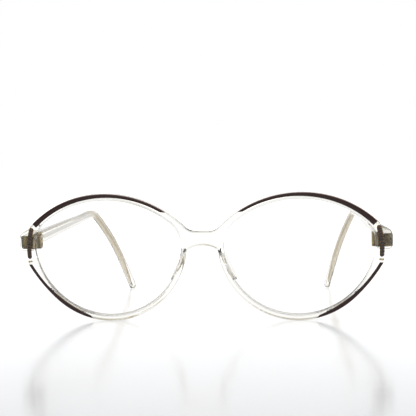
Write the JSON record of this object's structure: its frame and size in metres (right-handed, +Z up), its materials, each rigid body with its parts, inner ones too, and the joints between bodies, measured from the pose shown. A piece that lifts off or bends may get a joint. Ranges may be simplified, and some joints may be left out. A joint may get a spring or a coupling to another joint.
{
  "type": "oval eyeglasses",
  "caption": "Oval eyeglasses: clear moulded front with dark inlaid trims, a small enamel ladder ornament beside each hinge, and folding clear temples on a wire core.",
  "frame": {"origin": "on the table under the front, midway between the lowest points of the two rims", "axes": "+X towards the right-hand lug as seen by someone facing the front, +Y from the front along the temples to the wearer's ears, +Z up from the table"},
  "size_m": [0.1384, 0.1352, 0.0474],
  "materials": {
    "clear_plastic": "polished, clear, faintly ochre where it is thick",
    "lens": "polished, clear",
    "dark_trim": "polished, dark brown",
    "ornament_metal": "polished, slightly worn",
    "enamel": "glossy black enamel",
    "hinge_metal": "satin, faintly gold",
    "core_metal": "satin, beige gold"
  },
  "bodies": {
    "front": {"front_frame": "clear_plastic", "lens_left": "lens", "lens_right": "lens", "upper_trim_left": "dark_trim", "upper_trim_right": "dark_trim", "lower_trim_left": "dark_trim", "lower_trim_right": "dark_trim", "ornament_carrier_left": "ornament_metal", "ornament_carrier_right": "ornament_metal", "ornament_bar_left": "ornament_metal", "ornament_bar_right": "ornament_metal", "enamel_1_left": "enamel", "enamel_1_right": "enamel", "enamel_2_left": "enamel", "enamel_2_right": "enamel", "enamel_3_left": "enamel", "enamel_3_right": "enamel", "enamel_4_left": "enamel", "enamel_4_right": "enamel", "enamel_5_left": "enamel", "enamel_5_right": "enamel", "enamel_6_left": "enamel", "enamel_6_right": "enamel", "enamel_7_left": "enamel", "enamel_7_right": "enamel", "enamel_8_left": "enamel", "enamel_8_right": "enamel", "enamel_9_left": "enamel", "enamel_9_right": "enamel", "enamel_10_left": "enamel", "enamel_10_right": "enamel", "nose_pad_left": "clear_plastic", "nose_pad_right": "clear_plastic", "hinge_front_leaf_left": "hinge_metal", "hinge_front_leaf_right": "hinge_metal", "hinge_screw_left": "hinge_metal", "hinge_screw_right": "hinge_metal", "front_stud_1_left": "hinge_metal", "front_stud_1_right": "hinge_metal", "front_stud_2_left": "hinge_metal", "front_stud_2_right": "hinge_metal"},
    "temple_left": {"temple_left": "clear_plastic", "temple_core_left": "core_metal", "hinge_temple_leaf_left": "hinge_metal", "temple_stud_1_left": "hinge_metal", "temple_stud_2_left": "hinge_metal"},
    "temple_right": {"temple_right": "clear_plastic", "temple_core_right": "core_metal", "hinge_temple_leaf_right": "hinge_metal", "temple_stud_1_right": "hinge_metal", "temple_stud_2_right": "hinge_metal"}
  },
  "joints": [
    {"name": "hinge_right", "type": "hinge", "parent": "front", "child": "temple_right", "pos_m": [0.0629, 0.01106, 0.02945], "axis": [0, -0.1392, 0.9903], "range_deg": [0, 75]},
    {"name": "hinge_left", "type": "hinge", "parent": "front", "child": "temple_left", "pos_m": [-0.0629, 0.01106, 0.02945], "axis": [0, 0.1392, -0.9903], "range_deg": [0, 82]}
  ]
}
